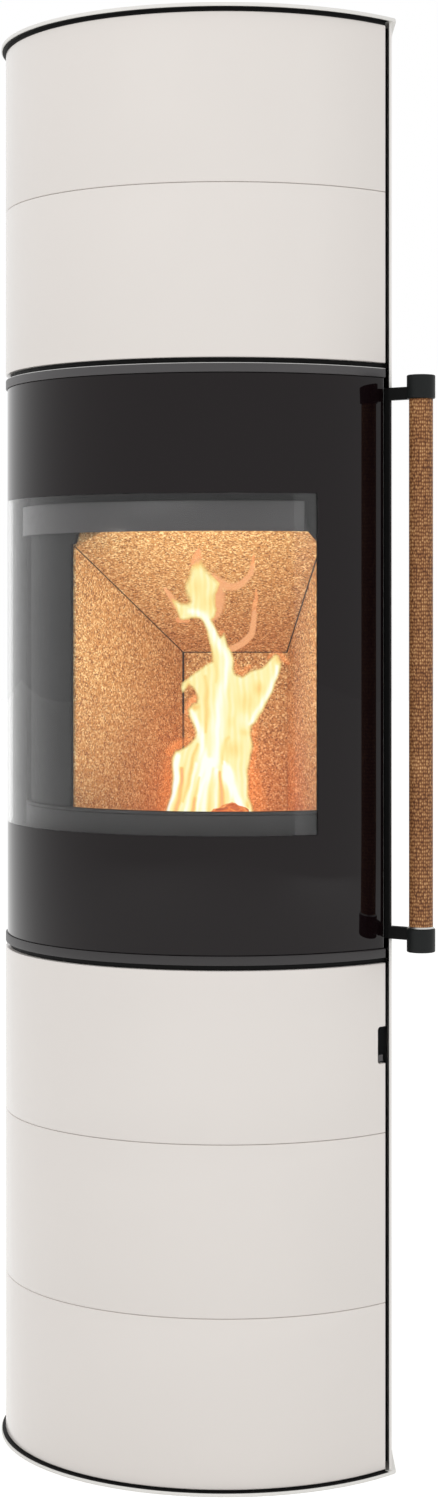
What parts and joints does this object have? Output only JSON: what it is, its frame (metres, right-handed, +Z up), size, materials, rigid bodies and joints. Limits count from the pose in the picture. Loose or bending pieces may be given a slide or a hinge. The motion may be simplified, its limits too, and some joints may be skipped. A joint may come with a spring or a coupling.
{
  "type": "tiled wood stove",
  "caption": "Tall wood stove with a round tiled front, straight right and rear sides, a curved glass door on a side hinge, a long vertical handle and a sliding air lever.",
  "frame": {"origin": "on the floor, on the vertical axis of the round front", "axes": "+Z up, -Y to the front that the fire faces, +X to the handle side"},
  "size_m": [0.5507, 0.5292, 1.8028],
  "materials": {
    "white_steel": "white powder coat, satin",
    "tile_glaze": "off-white glaze, satin gloss",
    "black_steel": "black stove paint, matt",
    "grey_steel": "dark grey stove paint, satin",
    "carcass_steel": "bare grey sheet steel",
    "vermiculite": "pressed vermiculite board, tan, speckled",
    "cast_iron": "sand-cast, matt",
    "heat_store": "dense refractory block",
    "door_glass": "clear bent glass ceramic",
    "glass_print": "black ceramic print fired on the glass",
    "seal_rope": "braided glass fibre rope",
    "handle_rod": "brown oiled wood, turned, with fine dark pores and light dashes",
    "handle_cap": "dark grey, matt"
  },
  "bodies": {
    "root": {"base_plate": "white_steel", "top_plate": "white_steel", "top_cover": "white_steel", "plinth_strip": "black_steel", "side_panel": "white_steel", "back_panel": "white_steel", "lower_tile_1": "tile_glaze", "lower_tile_2": "tile_glaze", "lower_tile_3": "tile_glaze", "upper_tile_1": "tile_glaze", "upper_tile_2": "tile_glaze", "lower_carcass": "carcass_steel", "upper_carcass": "carcass_steel", "lower_shelf": "black_steel", "upper_shelf": "black_steel", "hinge_side_casing": "black_steel", "firebox_front": "black_steel", "firebox_shell": "carcass_steel", "hearth_plate": "carcass_steel", "hearth_stone_front": "vermiculite", "hearth_stone_rear": "vermiculite", "hearth_stone_left": "vermiculite", "hearth_stone_right": "vermiculite", "lining_left": "vermiculite", "lining_right": "vermiculite", "lining_back": "vermiculite", "baffle": "vermiculite", "log_guard": "cast_iron", "air_deflector": "grey_steel", "air_box": "carcass_steel", "air_guide_left": "carcass_steel", "air_guide_right": "carcass_steel", "air_pipe": "carcass_steel", "smoke_box": "carcass_steel", "flue_collar": "black_steel", "heat_store_1": "heat_store", "heat_store_2": "heat_store", "heat_store_3": "heat_store", "hinge_pin_lower": "grey_steel", "hinge_pin_upper": "grey_steel", "latch_clip": "grey_steel"},
    "door": {"door_rail_bottom": "grey_steel", "door_rail_top": "grey_steel", "door_glass": "door_glass", "glass_print": "glass_print", "hinge_stile": "grey_steel", "handle_stile": "grey_steel", "door_seal": "seal_rope", "handle_bar": "black_steel", "handle_arm_lower": "black_steel", "handle_arm_upper": "black_steel", "handle_rod": "handle_rod", "handle_cap_lower": "handle_cap", "handle_cap_upper": "handle_cap"},
    "air_control": {"air_slide_plate": "grey_steel", "air_lever": "grey_steel"},
    "ash_pan": {"ash_pan": "grey_steel"},
    "grate": {"grate": "cast_iron"}
  },
  "joints": [
    {"name": "door_hinge", "type": "hinge", "parent": "root", "child": "door", "pos_m": [-0.25674, 0.09854, 0.64], "axis": [0, 0, -1], "range_deg": [0, 100]},
    {"name": "air_lever_slide", "type": "slide", "parent": "root", "child": "air_control", "axis": [0, 0, 1], "range_m": [0, 0.032]},
    {"name": "ash_pan_lift", "type": "slide", "parent": "root", "child": "ash_pan", "axis": [0, 0, 1], "range_m": [0, 0.11]},
    {"name": "grate_lift", "type": "slide", "parent": "ash_pan", "child": "grate", "axis": [0, 0, 1], "range_m": [0, 0.06]}
  ]
}
